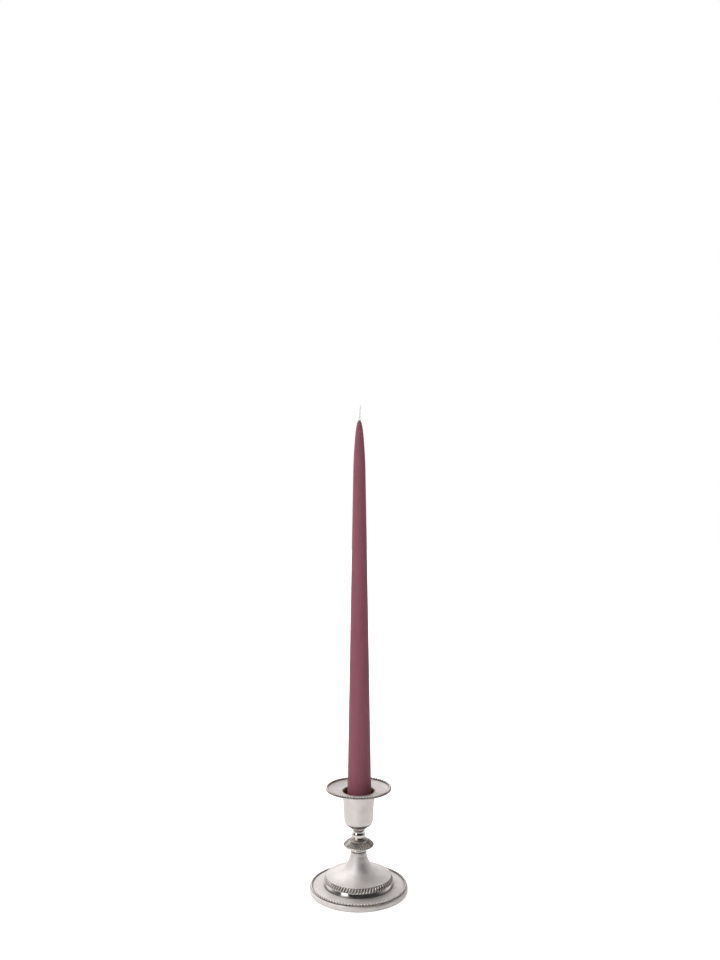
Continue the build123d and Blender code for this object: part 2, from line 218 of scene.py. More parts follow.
def flow(points, steps=6, leave=None, arrive=None):
    """Points of a smooth curve through the given points, with the directions of its ends."""
    slopes = []
    last = len(points) - 1
    for i, (x, y) in enumerate(points):
        before, after = points[max(i - 1, 0)], points[min(i + 1, last)]
        share = 0.5 if 0 < i < last else 1.0
        slopes.append(((after[0] - before[0]) * share, (after[1] - before[1]) * share))
    for index, direction, near in ((0, leave, 1), (last, arrive, last - 1)):
        if direction:
            gap = hypot(points[near][0] - points[index][0], points[near][1] - points[index][1])
            size = hypot(*direction)
            slopes[index] = (direction[0] * gap / size, direction[1] * gap / size)
    line = []
    for i in range(last):
        p, q, m, n = points[i], points[i + 1], slopes[i], slopes[i + 1]
        for k in range(steps):
            t = k / steps
            a, b = 2 * t**3 - 3 * t**2 + 1, t**3 - 2 * t**2 + t
            c, d = 3 * t**2 - 2 * t**3, t**3 - t**2
            line.append(tuple(a * p[j] + b * m[j] + c * q[j] + d * n[j] for j in (0, 1)))
    return line + [points[-1]]


def joined(*stretches):
    """One outline from several stretches, without the points that they share."""
    outline = []
    for x, y in (point for stretch in stretches for point in stretch):
        if not outline or hypot(x - outline[-1][0], y - outline[-1][1]) > 0.002 * MM:
            outline.append((x, y))
    return outline


# ---- modelling


def deselect_all():
    if bpy.context.object and bpy.context.object.mode != "OBJECT":
        bpy.ops.object.mode_set(mode="OBJECT")
    bpy.ops.object.select_all(action="DESELECT")


def make_active(obj):
    deselect_all()
    obj.select_set(True)
    bpy.context.view_layer.objects.active = obj


def edit():
    """Go into edit mode with everything selected."""
    bpy.ops.object.mode_set(mode="EDIT")
    bpy.ops.mesh.select_all(action="SELECT")


def leave_edit():
    """Turn every normal outward and go back to object mode."""
    bpy.ops.mesh.select_all(action="SELECT")
    bpy.ops.mesh.normals_make_consistent(inside=False)
    bpy.ops.object.mode_set(mode="OBJECT")


def apply_modifier(obj, kind, **settings):
    make_active(obj)
    bpy.ops.object.modifier_add(type=kind)
    modifier = obj.modifiers[-1]
    for name, value in settings.items():
        setattr(modifier, name, value)
    bpy.ops.object.modifier_apply(modifier=modifier.name)


def turned(name, outline, steps=192, axis_x=0.0, closed=True):
    """Draw an outline with extruded vertices and spin it about the upright axis."""
    deselect_all()
    bpy.ops.mesh.primitive_plane_add(size=1, location=(0, 0, 0))
    obj = bpy.context.object
    obj.name = obj.data.name = name
    edit()
    bpy.ops.mesh.merge(type="CENTER")
    path = list(outline) + ([outline[0]] if closed else [])
    bpy.ops.transform.translate(value=(axis_x + path[0][0], 0, path[0][1]))
    for here, there in zip(path, path[1:]):
        move = (there[0] - here[0], 0, there[1] - here[1])
        bpy.ops.mesh.extrude_region_move(TRANSFORM_OT_translate={"value": move})
    bpy.ops.mesh.select_all(action="SELECT")
    bpy.ops.mesh.remove_doubles(threshold=1e-6)
    bpy.ops.mesh.spin(steps=steps, angle=tau, center=(axis_x, 0, 0), axis=(0, 0, 1))
    bpy.ops.mesh.select_all(action="SELECT")
    bpy.ops.mesh.remove_doubles(threshold=1e-6)
    leave_edit()
    return obj


def soften(obj, width, angle=35):
    """Round the sharp edges a little, as polishing does, and shade the rest smooth."""
    apply_modifier(
        obj, "BEVEL", width=width, segments=2, limit_method="ANGLE", angle_limit=radians(angle),
        harden_normals=False,
    )
    smooth(obj)


def smooth(obj, angle=38):
    make_active(obj)
    bpy.ops.object.shade_smooth_by_angle(angle=radians(angle))


def mark_tarnish_and_shade(obj, share_at):
    """Keep how deep in a hollow each vertex lies, for the finish to darken it there: partly
    tarnished silver, partly painted shade.
    """
    layer = obj.data.attributes.new("tarnish_and_shade", "FLOAT", "POINT")
    for vertex in obj.data.vertices:
        layer.data[vertex.index].value = min(1.0, max(0.0, share_at(vertex.co)))


def sink(obj, depth, share_at, film_and_shade=lambda co: 0.0):
    """Press the surface in by depth times the share at each vertex, and darken the hollows
    with tarnished silver and painted shade. A second share at each vertex, film_and_shade, darkens
    the ridges too, as painted shade and painted dark reflection."""
    group = obj.vertex_groups.new(name="flutes")
    for vertex in obj.data.vertices:
        share = share_at(vertex.co)
        if share > 0:
            group.add([vertex.index], share, "REPLACE")
    mark_tarnish_and_shade(obj, lambda co: max(film_and_shade(co), share_at(co)))
    apply_modifier(
        obj, "DISPLACE", strength=-depth, mid_level=0, direction="NORMAL", vertex_group="flutes"
    )
    obj.vertex_groups.clear()


def join(name, pieces):
    make_active(pieces[0])
    for piece in pieces[1:]:
        piece.select_set(True)
    bpy.ops.object.join()
    pieces[0].name = pieces[0].data.name = name
    return pieces[0]


def place(obj, node, material):
    """Give a finished piece its material and let it stand for its CAD node."""
    if not obj.data.polygons:
        raise RuntimeError(f"{obj.name} has no faces")
    obj.data.materials.clear()
    obj.data.materials.append(material)
    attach(obj, BODY_OF[node])
    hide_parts(node)


def refinish(node, material):
    """Give a CAD node that is shown as it is a better material."""
    cad = frame["nodes"][node]
    cad.data.materials.clear()
    cad.data.materials.append(material)


# ---- materials


def add(tree, kind, inputs=None, **settings):
    """Add a node with its settings, and fill its sockets with values or links."""
    node = tree.nodes.new(kind)
    for name, value in settings.items():
        setattr(node, name, value)
    for name, value in (inputs or {}).items():
        socket = node.inputs[name]
        if isinstance(value, bpy.types.NodeSocket):
            tree.links.new(value, socket)
        else:
            socket.default_value = value
    return node


def rgba(value):
    return (*value, 1.0)


def shade(value, share):
    """A darker or lighter version of a colour."""
    return tuple(min(1.0, c * share) for c in value)


def ring_point(tree, point):
    """Coordinates that are the same all the way round the axis: radius, height, nothing."""
    parts = add(tree, "ShaderNodeSeparateXYZ", {0: point})
    flat = add(tree, "ShaderNodeCombineXYZ", {0: parts.outputs[0], 1: parts.outputs[1]})
    radius = add(tree, "ShaderNodeVectorMath", {0: flat.outputs[0]}, operation="LENGTH")
    return add(
        tree, "ShaderNodeCombineXYZ", {0: radius.outputs["Value"], 1: parts.outputs[2]}
    ).outputs[0]


def noise(tree, point, size, detail=3.0, roughness=0.5):
    """Noise whose features are about size metres across."""
    return add(
        tree, "ShaderNodeTexNoise",
        {"Vector": point, "Scale": 1 / size, "Detail": detail, "Roughness": roughness},
    ).outputs["Fac"]


def spread(tree, value, low, high, out_low, out_high):
    """Stretch a value from one range to another, and stop at its ends."""
    return add(
        tree, "ShaderNodeMapRange",
        {"Value": value, "From Min": low, "From Max": high, "To Min": out_low, "To Max": out_high},
    ).outputs["Result"]


def blend(tree, factor, first, second):
    mix = add(tree, "ShaderNodeMix", {"Factor": factor}, data_type="RGBA")
    for index, value in ((6, first), (7, second)):
        if isinstance(value, bpy.types.NodeSocket):
            tree.links.new(value, mix.inputs[index])
        else:
            mix.inputs[index].default_value = rgba(value)
    return mix.outputs[2]


def ramp(tree, value, stops):
    """Grey levels at given angles in degrees, from -180 to 180, blended in between."""
    node = add(tree, "ShaderNodeValToRGB", {"Fac": value})
    elements = node.color_ramp.elements
    for _ in stops[2:]:
        elements.new(0.5)
    for element, (angle, level) in zip(elements, stops):
        element.position = angle / 360 + 0.5
        element.color = (level, level, level, 1.0)
    return node.outputs["Color"]


def bump(tree, height, distance, strength=1.0, normal=None):
    inputs = {"Height": height, "Distance": distance, "Strength": strength}
    if normal:
        inputs["Normal"] = normal
    return add(tree, "ShaderNodeBump", inputs).outputs["Normal"]


def finish_tree(tree, **inputs):
    """Join values and links to a shader; an underscore stands for a space in a name."""
    sockets = {name.replace("_", " "): value for name, value in inputs.items()}
    shader = add(tree, "ShaderNodeBsdfPrincipled", sockets)
    add(tree, "ShaderNodeOutputMaterial", {"Surface": shader.outputs[0]})


def satin_silver(tree, point, colours):
    """Silver plate on spun brass, scratch-brushed on the lathe: a soft, broad highlight,
    fine rings round the axis and a faint warm cast where the air has dulled it."""
    rings = noise(tree, ring_point(tree, point), 0.35 * MM, 2.0)
    grain = noise(tree, point, 0.5 * MM, 2.0)
    cloud = noise(tree, point, 16 * MM, 4.0, 0.6)
    worn = spread(tree, cloud, 0.42, 0.72, 0.0, 0.65)
    base = blend(tree, worn, colours.satin, colours.satin_worn)
    # Dark brass where tarnish_and_shade is marked, only round the drip pan's hole: the brown of
    # brass there, darkened as painted shade inside the hole
    tarnish_and_shade = add(tree, "ShaderNodeAttribute", attribute_name="tarnish_and_shade").outputs["Fac"]
    base = blend(tree, tarnish_and_shade, base, shade(colours.brass, 0.6))
    rough = spread(tree, noise(tree, point, 7 * MM, 3.0), 0.3, 0.7, 0.54, 0.64)
    relief = bump(tree, rings, 0.02 * MM, 0.35)
    relief = bump(tree, grain, 0.03 * MM, 0.4, relief)
    finish_tree(tree, Base_Color=base, Metallic=1.0, Roughness=rough, Normal=relief)


def polished_silver(tree, point, colours):
    """Silver plate buffed to a mirror: sharp reflections, slightly rippled by hand
    polishing, and dark brown where tarnish_and_shade is marked: tarnished silver where the mop
    doesn't reach, and also painted shade and painted dark reflection."""
    tarnish_and_shade = add(tree, "ShaderNodeAttribute", attribute_name="tarnish_and_shade").outputs["Fac"]
    smudge = noise(tree, point, 5 * MM, 4.0, 0.6)
    # How much dark brown is laid on: tarnished silver, painted shade and painted dark reflection,
    # from tarnish_and_shade
    depth = spread(tree, tarnish_and_shade, 0.25, 0.9, 0.0, 0.95)
    patchy = spread(tree, smudge, 0.2, 0.6, 0.6, 1.0)
    film_and_shade = add(tree, "ShaderNodeMath", {0: depth, 1: patchy}, operation="MULTIPLY").outputs[0]
    thin = spread(tree, noise(tree, point, 14 * MM, 2.0), 0.5, 0.62, 0.0, 0.6)
    # The dark brown, tarnish_and_shade_tone turning to darkened brass, stands for tarnished silver
    # and painted shade alike
    under = blend(tree, thin, colours.tarnish_and_shade_tone, shade(colours.brass, 0.5))
    base = blend(tree, film_and_shade, colours.polished, under)
    rough = spread(tree, film_and_shade, 0.0, 1.0, 0.085, 0.36)
    ripple = bump(tree, noise(tree, point, 2.2 * MM, 2.0), 0.03 * MM, 0.5)
    scratches = noise(tree, ring_point(tree, point), 0.2 * MM, 1.0)
    relief = bump(tree, scratches, 0.006 * MM, 0.3, ripple)
    finish_tree(tree, Base_Color=base, Metallic=1.0, Roughness=rough, Normal=relief)


def old_brass(tree, point, colours):
    """Bare brass sheet inside the socket, browned by heat, soot and old wax."""
    patches = spread(tree, noise(tree, point, 6 * MM, 5.0, 0.65), 0.35, 0.65, 0.0, 1.0)
    base = blend(tree, patches, colours.brass, colours.brass_dark)
    rough = spread(tree, patches, 0.0, 1.0, 0.32, 0.6)
    relief = bump(tree, noise(tree, ring_point(tree, point), 0.5 * MM), 0.05 * MM, 0.5)
    finish_tree(tree, Base_Color=base, Metallic=1.0, Roughness=rough, Normal=relief)


def candle_wax(tree, point, colours):
    """Dipped paraffin wax dyed plum: nearly matt, light goes a little way in, and the
    last dip leaves a faint unevenness along the candle."""
    stretched = add(
        tree, "ShaderNodeMapping", {"Vector": point, "Scale": (1.0, 1.0, 0.25)}
    ).outputs[0]
    cloud = noise(tree, stretched, 9 * MM, 4.0, 0.55)
    base = blend(tree, spread(tree, cloud, 0.35, 0.7, 0.0, 0.6), colours.wax, colours.wax_deep)
    rough = spread(tree, noise(tree, point, 4 * MM), 0.3, 0.7, 0.42, 0.55)
    relief = bump(tree, noise(tree, stretched, 3 * MM, 3.0), 0.06 * MM, 0.6)
    finish_tree(
        tree, Base_Color=base, Roughness=rough, IOR=1.44, Specular_IOR_Level=0.2,
        Subsurface_Weight=0.12, Subsurface_Radius=(1.0, 0.45, 0.4), Subsurface_Scale=1.6 * MM,
        Normal=relief,
    )


def cotton(tree, point, colours):
    """Plaited cotton primed with wax: dull white, with the fibres showing as fine bumps."""
    fibres = noise(tree, point, 0.35 * MM, 4.0, 0.7)
    between = spread(tree, fibres, 0.35, 0.7, 0.0, 0.5)
    base = blend(tree, between, colours.cotton, colours.cotton_shade)
    relief = bump(tree, fibres, 0.2 * MM, 0.8)
    finish_tree(tree, Base_Color=base, Roughness=0.85, Normal=relief)


def wool_felt(tree, point, colours):
    """Pressed wool felt: no gloss, a short nap and a mottled dye."""
    nap = noise(tree, point, 0.6 * MM, 6.0, 0.75)
    light = shade(colours.felt, 2.2)
    base = blend(tree, spread(tree, nap, 0.35, 0.7, 0.0, 0.8), colours.felt, light)
    relief = bump(tree, nap, 0.3 * MM, 0.9)
    finish_tree(tree, Base_Color=base, Roughness=0.95, Sheen_Weight=0.3, Normal=relief)


def cast_iron(tree, point, colours):
    """Grey iron as it left the sand: dark, coarse-grained and slightly rusty."""
    sand = noise(tree, point, 0.7 * MM, 5.0, 0.7)
    rust = spread(tree, noise(tree, point, 8 * MM, 5.0, 0.6), 0.55, 0.75, 0.0, 0.6)
    base = blend(tree, rust, colours.iron, colours.rust)
    relief = bump(tree, sand, 0.25 * MM, 0.8)
    finish_tree(tree, Base_Color=base, Metallic=0.7, Roughness=0.68, Normal=relief)


def zinc_steel(tree, point, colours):
    """Zinc-plated steel fixings: cool grey, with the mottled bloom of bright zinc."""
    bloom = spread(tree, noise(tree, point, 2 * MM, 4.0), 0.35, 0.65, 0.0, 1.0)
    base = blend(tree, bloom, colours.zinc, colours.zinc_bloom)
    rough = spread(tree, bloom, 0.0, 1.0, 0.3, 0.48)
    relief = bump(tree, noise(tree, ring_point(tree, point), 0.25 * MM), 0.02 * MM, 0.4)
    finish_tree(tree, Base_Color=base, Metallic=1.0, Roughness=rough, Normal=relief)


def pressed_steel(tree, point, colours):
    """Cold-rolled sheet: grey, with long rolling marks across it."""
    long_marks = add(
        tree, "ShaderNodeMapping", {"Vector": point, "Scale": (0.05, 1.0, 1.0)}
    ).outputs[0]
    marks = noise(tree, long_marks, 0.5 * MM, 3.0)
    base = blend(tree, marks, colours.steel, colours.steel_mark)
    relief = bump(tree, marks, 0.02 * MM, 0.5)
    finish_tree(tree, Base_Color=base, Metallic=1.0, Roughness=0.42, Normal=relief)


def floor_paper(tree, point, colours):
    """Matt studio paper: pale, even and without gloss, and lit from below so that it
    runs into the background without a horizon."""
    fibre = noise(tree, point, 1.5 * MM, 3.0)
    fibres = spread(tree, fibre, 0.3, 0.7, 0.0, 0.1)
    base = blend(tree, fibres, colours.floor, colours.floor_fibre)
    seen = add(tree, "ShaderNodeLightPath").outputs["Is Camera Ray"]
    glow = spread(tree, seen, 0.0, 1.0, 0.0, 0.85)
    white = (1.0, 1.0, 1.0, 1.0)
    finish_tree(
        tree, Base_Color=base, Roughness=0.9, Emission_Color=white, Emission_Strength=glow
    )


MAKERS = {
    "satin": ("satin_silver_plate", satin_silver),
    "polished": ("mirror_polished_silver_plate", polished_silver),
    "brass": ("browned_brass_sheet", old_brass),
    "wax": ("dipped_plum_wax", candle_wax),
    "cotton": ("waxed_cotton_wick", cotton),
    "felt": ("pressed_wool_felt", wool_felt),
    "iron": ("sand_cast_iron", cast_iron),
    "zinc": ("zinc_plated_steel", zinc_steel),
    "sheet": ("cold_rolled_sheet_steel", pressed_steel),
    "floor": ("matt_studio_paper", floor_paper),
}
MATERIALS = {}


def finish(name):
    """The material of that name, made when it is first asked for."""
    if name not in MATERIALS:
        title, maker = MAKERS[name]
        material = MATERIALS[name] = bpy.data.materials.new(title)
        material.use_nodes = True
        tree = material.node_tree
        tree.nodes.clear()
        point = add(tree, "ShaderNodeTexCoord").outputs["Object"]
        maker(tree, point, bpy.context.scene.candlestick_finishes)
    return MATERIALS[name]


def spun(node, name, outline, steps, surface, edge, tarnish_and_shade=None, closed=True):
    """Spin a whole piece, soften its edges, mark its hollows, and put it in place."""
    obj = turned(name, outline, steps, closed=closed)
    soften(obj, edge * MM)
    if tarnish_and_shade:
        mark_tarnish_and_shade(obj, tarnish_and_shade)
    place(obj, node, finish(surface))


# ---- operators: the foot


class MESH_OT_candlestick_foot(bpy.types.Operator):
    """Spin the foot plate with its rim, and the felt under it"""

    bl_idname = "mesh.candlestick_foot"
    bl_label = "Foot plate and felt"

    def execute(self, context):
        sizes = context.scene.candlestick_sizes
        plate, beads, step = Span("foot_plate"), Span("foot_bead_border"), Span("step_ring")
        seat = beads.low
        rim = seat - sizes.rim_drop
        channel_out = plate.radius - sizes.rim_width
        channel_in = beads.radius - 2 * sizes.bead_radius - 0.1 * MM
        inner = plate.radius - sizes.sheet
        opening = step.radius - sizes.band_width - 2.4 * MM
        under = rim - sizes.sheet
        outline = joined(
            [(opening, plate.high - sizes.sheet), (opening, plate.high)],
            flow(
                [(step.radius - 0.3 * MM, plate.high), (channel_in, seat + sizes.bead_step)],
                8, (1, -0.06), (1, -0.2),
            ),
            [(channel_in + 0.05 * MM, seat), (channel_out - 0.2 * MM, seat)],
            [(channel_out, rim - 0.25 * MM)],
            arc(
                (channel_out + 0.2 * MM, rim), (plate.radius - 0.2 * MM, rim - 0.3 * MM),
                (plate.radius, rim - 1.0 * MM), 6,
            ),
            [(plate.radius, rim * 0.5), (plate.radius - 0.12 * MM, plate.low + 0.35 * MM)],
            [(plate.radius - 0.4 * MM, plate.low), (inner, plate.low), (inner, under - 0.6 * MM)],
            [(inner - 0.6 * MM, under)],
        )
        spun("foot_plate", "foot_plate_spun", outline, 288, "satin", 0.12)

        pad = Span("felt_pad")
        edge = 0.25 * MM
        outline = [
            (0, pad.low), (pad.radius - edge, pad.low), (pad.radius, pad.low + edge),
            (pad.radius, pad.high - edge), (pad.radius - edge, pad.high), (0, pad.high),
        ]
        obj = turned("felt_disc", outline, 128, closed=False)
        smooth(obj)
        place(obj, "felt_pad", finish("felt"))
        refinish("ballast_disc", finish("iron"))
        refinish("base_cover", finish("sheet"))
        return {"FINISHED"}


def bead_border(name, node, bead_radius, beads):
    """A ring of beads on a thin wire, darkened as painted shade on the wire and the lower half of
    each bead, where they meet.
    """
    ring = Span(node)
    middle = ring.radius - bead_radius
    seat = ring.low
    half = bead_radius * 0.8
    wire = turned(
        name + "_wire",
        [
            (middle - half, seat), (middle - half, seat + bead_radius * 0.45),
            (middle - half * 0.6, seat + bead_radius * 0.58),
            (middle + half * 0.6, seat + bead_radius * 0.58),
            (middle + half, seat + bead_radius * 0.45), (middle + half, seat),
        ],
        2 * beads,
    )
    deselect_all()
    bpy.ops.mesh.primitive_uv_sphere_add(
        segments=14, ring_count=10, radius=bead_radius,
        location=(middle, 0, ring.high - bead_radius),
    )
    bead = bpy.context.object
    bpy.ops.object.transform_apply(location=True, rotation=True, scale=True)
    edit()
    bpy.ops.mesh.bisect(
        plane_co=(0, 0, seat + 0.02 * MM), plane_no=(0, 0, 1), clear_inner=True, use_fill=True
    )
    bpy.ops.mesh.select_all(action="SELECT")
    bpy.ops.mesh.spin(
        steps=beads - 1, dupli=True, angle=tau * (beads - 1) / beads, center=(0, 0, 0),
        axis=(0, 0, 1),
    )
    leave_edit()
    obj = join(name, [bead, wire])
    # Painted shade: the wire and the lower half of each bead are darkened, for the shade where
    # beads meet the wire and the darker reflections low on each bead
    top = seat + bead_radius * 1.15
    mark_tarnish_and_shade(obj, lambda co: (top - co.z) / (0.5 * bead_radius))
    smooth(obj, 50)
    place(obj, node, finish("polished"))


class MESH_OT_candlestick_beads(bpy.types.Operator):
    """Set the two beaded borders round the foot and the drip pan"""

    bl_idname = "mesh.candlestick_beads"
    bl_label = "Beaded borders"

    def execute(self, context):
        sizes = context.scene.candlestick_sizes
        for name, node, radius, beads in (
            ("foot_beads", "foot_bead_border", sizes.bead_radius, sizes.bead_count),
            ("pan_beads", "pan_bead_border", sizes.pan_bead_radius, sizes.pan_bead_count),
        ):
            bead_border(name, node, radius, beads)
        return {"FINISHED"}


class MESH_OT_candlestick_step(bpy.types.Operator):
    """Spin the polished wall under the flutes, and cut the slanted flutes in their band"""

    bl_idname = "mesh.candlestick_step"
    bl_label = "Step and fluted band"

    def execute(self, context):
        sizes = context.scene.candlestick_sizes
        step, band, top = Span("step_ring"), Span("fluted_band"), Span("pedestal")
        inner = step.radius - sizes.band_width
        neck = band.radius - 0.15 * MM
        outline = [(inner, step.high), (inner, step.low), (step.radius, step.low)]
        outline.append((neck - 0.15 * MM, step.high))
        obj = turned("step_wall", outline, 288)
        smooth(obj)
        # Painted shadow: the lowest half millimetre of the wall is darkened where it stands on the
        # plate
        mark_tarnish_and_shade(obj, lambda co: (step.low + 0.5 * MM - co.z) / (0.5 * MM))
        place(obj, "step_ring", finish("polished"))

        low, high = (neck, band.low), (top.radius, band.high)
        middle = ((low[0] + high[0]) / 2 + 0.52 * MM, band.level(0.5) + 0.28 * MM)
        bulge = arc(low, middle, high, 26)
        outline = joined([(inner, band.high), (inner, band.low)], bulge)
        per_flute = 16
        obj = turned("flute_band", outline, sizes.flute_count * per_flute)
        pitch = tau / sizes.flute_count
        half_width = 0.36  # of the pitch, so that a ridge stays between two flutes
        rise = band.height * 1.12  # along the curved wall
        round_end = 1.15 * MM
        plain = inner + 1 * MM  # the inner wall has no flutes

        def flute(co):
            radius = hypot(co.x, co.y)
            if radius < plain:
                return 0
            share = (co.z - band.low) / band.height
            turn_share = (atan2(co.y, co.x) - sizes.flute_slant * share) / pitch
            across = (turn_share - round(turn_share)) * pitch * radius
            width = half_width * pitch * radius
            below = max(0.0, round_end - share * rise)
            near = hypot(across, below) / width
            return sqrt(1 - near * near) if near < 1 else 0

        # The flute hollows are darkened as they are pressed in: tarnished silver there, and painted
        # shade in the hollows
        sink(obj, sizes.flute_depth, flute)
        smooth(obj, 60)
        place(obj, "fluted_band", finish("polished"))
        return {"FINISHED"}


# ---- operators: the stem


class MESH_OT_candlestick_pedestal(bpy.types.Operator):
    """Spin the trumpet-shaped pedestal and the collar on it"""

    bl_idname = "mesh.candlestick_pedestal"
    bl_label = "Pedestal and collar"

    def execute(self, context):
        sizes = context.scene.candlestick_sizes
        body, band, collar = Span("pedestal"), Span("fluted_band"), Span("pedestal_collar")
        top, foot = body.high, band.high
        rise = top - foot
        neck = collar.radius
        spigot_out, spigot_in = body.radius - 3.0 * MM, body.radius - 4.4 * MM
        bore = sizes.bore
        outline = joined(
            [(bore, top), (neck - 0.45 * MM, top)],
            arc(
                (neck - 0.35 * MM, top - 0.05 * MM), (neck + 0.05 * MM, top - 0.9 * MM),
                (neck - 0.2 * MM, top - 2.0 * MM),
            ),
            flow(
                [
                    (neck - 0.2 * MM, top - 2.0 * MM), (neck + 1.05 * MM, top - rise * 0.26),
                    (neck + 2.7 * MM, top - rise * 0.45), (neck + 8.0 * MM, top - rise * 0.75),
                    (body.radius - 0.45 * MM, foot + 0.55 * MM),
                ],
                10, (0, -1), (1, -0.06),
            ),
            arc(
                (body.radius - 0.45 * MM, foot + 0.55 * MM),
                (body.radius - 0.08 * MM, foot + 0.38 * MM), (body.radius, foot + 0.02 * MM), 5,
            ),
            [(spigot_out, foot), (spigot_out, body.low), (spigot_in, body.low)],
            flow(
                [
                    (spigot_in, body.low), (neck + 7.2 * MM, top - rise * 0.75 - sizes.sheet),
                    (neck + 0.6 * MM, top - rise * 0.5), (bore + 1.6 * MM, top - rise * 0.36),
                ],
                6,
            ),
            [(bore, top - rise * 0.36)],
        )
        spun("pedestal", "pedestal_spun", outline, 288, "satin", 0.1)

        spigot = collar.radius - sizes.reveal_depth
        ledge = collar.low + sizes.reveal_height
        outline = joined(
            [(bore, collar.high), (bore, collar.low), (spigot, collar.low), (spigot, ledge)],
            arc(
                (collar.radius - 0.45 * MM, ledge),
                (collar.radius, ledge + (collar.high - ledge) * 0.45),
                (collar.radius - 0.7 * MM, collar.high), 10,
            ),
        )
        # Painted shade: the gap under the collar's ledge is darkened in its colour
        tarnish_and_shade = lambda co: (ledge + 0.1 * MM - co.z) / (0.2 * MM)
        spun("pedestal_collar", "collar_ring", outline, 160, "polished", 0.06, tarnish_and_shade)
        return {"FINISHED"}


class MESH_OT_candlestick_knop(bpy.types.Operator):
    """Spin both halves of the knop and press the slanted flutes into its dome"""

    bl_idname = "mesh.candlestick_knop"
    bl_label = "Knop"

    def execute(self, context):
        sizes = context.scene.candlestick_sizes
        names = ("knop_base", "knop_cap", "pedestal_collar", "neck_ring")
        under, dome, collar, ring = map(Span, names)
        bore = sizes.bore
        rim = dome.radius
        outline = joined(
            [(bore, under.high), (bore, under.low)],
            flow(
                [
                    (collar.radius - 0.4 * MM, under.low), (rim - 2.3 * MM, under.level(0.43)),
                    (under.radius, under.high - 0.3 * MM),
                ],
                10, (1, 0.15), (0.45, 1),
            ),
            [(under.radius, under.high)],
        )
        spun("knop_base", "knop_underside", outline, 192, "polished", 0.06)

        neck = ring.radius - 0.05 * MM
        outline = joined(
            [(bore, dome.high), (bore, dome.low)],
            flow(
                [
                    (rim, dome.low), (rim - 1.25 * MM, dome.level(0.21)),
                    (rim - 3.8 * MM, dome.level(0.46)), (rim - 6.8 * MM, dome.level(0.7)),
                    (neck + 0.15 * MM, dome.level(0.88)), (neck, dome.high),
                ],
                10, (-0.25, 1), (0.02, 1),
            ),
        )
        per_flute = 20
        obj = turned("knop_dome", outline, sizes.knop_flute_count * per_flute)
        pitch = tau / sizes.knop_flute_count
        reach = rim - sizes.knop_crown
        half_width = 0.4  # of the pitch
        run_out = 1.2 * MM  # past the crown's edge, where a flute has ended
        round_end = 0.5 * MM
        fade_height = 0.9 * MM  # flutes fade to nothing at the rim, so its outline stays round

        def flute(co):
            radius = hypot(co.x, co.y)
            if radius < sizes.knop_crown - run_out or co.z < dome.low + 0.1 * MM:
                return 0
            share = (radius - sizes.knop_crown) / reach
            turn_share = (atan2(co.y, co.x) - sizes.knop_flute_slant * (1 - share)) / pitch
            across = (turn_share - round(turn_share)) * pitch * radius
            width = half_width * pitch * radius
            before = max(0.0, round_end - (radius - sizes.knop_crown))
            near = hypot(across, before) / width
            fade = min(1.0, (co.z - dome.low) / fade_height)
            return fade * sqrt(1 - near * near) if near < 1 else 0

        def film_and_shade(co):
            """Painted dark reflection: the smooth crown is darkened most, and the rest of the dome
            less.
            """
            crown = neck + 0.5 * MM < hypot(co.x, co.y) < sizes.knop_crown
            return 0.8 if crown else 0.45

        sink(obj, sizes.knop_flute_depth, flute, film_and_shade)
        smooth(obj, 60)
        place(obj, "knop_cap", finish("polished"))
        return {"FINISHED"}


class MESH_OT_candlestick_neck(bpy.types.Operator):
    """Spin the ring above the knop and the waisted mount under the cup"""

    bl_idname = "mesh.candlestick_neck"
    bl_label = "Neck ring and cup mount"

    def execute(self, context):
        sizes = context.scene.candlestick_sizes
        ring, mount = Span("neck_ring"), Span("cup_mount")
        bore = sizes.bore
        outline = joined(
            [(bore, ring.high), (bore, ring.low)],
            arc(
                (ring.radius - 0.05 * MM, ring.low), (ring.radius - 0.13 * MM, ring.level(0.4)),
                (ring.radius, ring.high), 8,
            ),
        )
        spun("neck_ring", "neck_band", outline, 160, "polished", 0.12)

        base = mount.low + sizes.groove_height
        rise = mount.high - base
        groove = ring.radius - sizes.groove_depth
        outline = joined(
            [(bore, mount.high), (bore, mount.low), (groove, mount.low), (groove, base)],
            flow(
                [
                    (ring.radius - 0.05 * MM, base), (sizes.waist + 0.22 * MM, base + rise * 0.11),
                    (sizes.waist, base + rise * 0.235),
                    (sizes.waist + 1.6 * MM, base + rise * 0.505),
                    (mount.radius - 1.55 * MM, base + rise * 0.794), (mount.radius, mount.high),
                ],
                12, (-0.2, 1), (0.5, 1),
            ),
        )
        obj = turned("cup_stem", outline, 192)
        soften(obj, 0.05 * MM)
        # Painted shade: the groove under the mount is darkened fully, and the flare under the cup
        # darkens towards the top, where the cup shades it; tarnished silver too, where the mop
        # doesn't reach
        hollow = base + rise * 0.5
        mark_tarnish_and_shade(
            obj,
            lambda co: 1.0
            if co.z < base + 0.1 * MM
            else 0.75 * min(1.0, (co.z - hollow) / (1.5 * MM)),
        )
        place(obj, "cup_mount", finish("polished"))
        for node in ("tie_rod", "base_nut", "base_washer", "cup_nut", "cup_washer"):
            refinish(node, finish("zinc"))
        return {"FINISHED"}


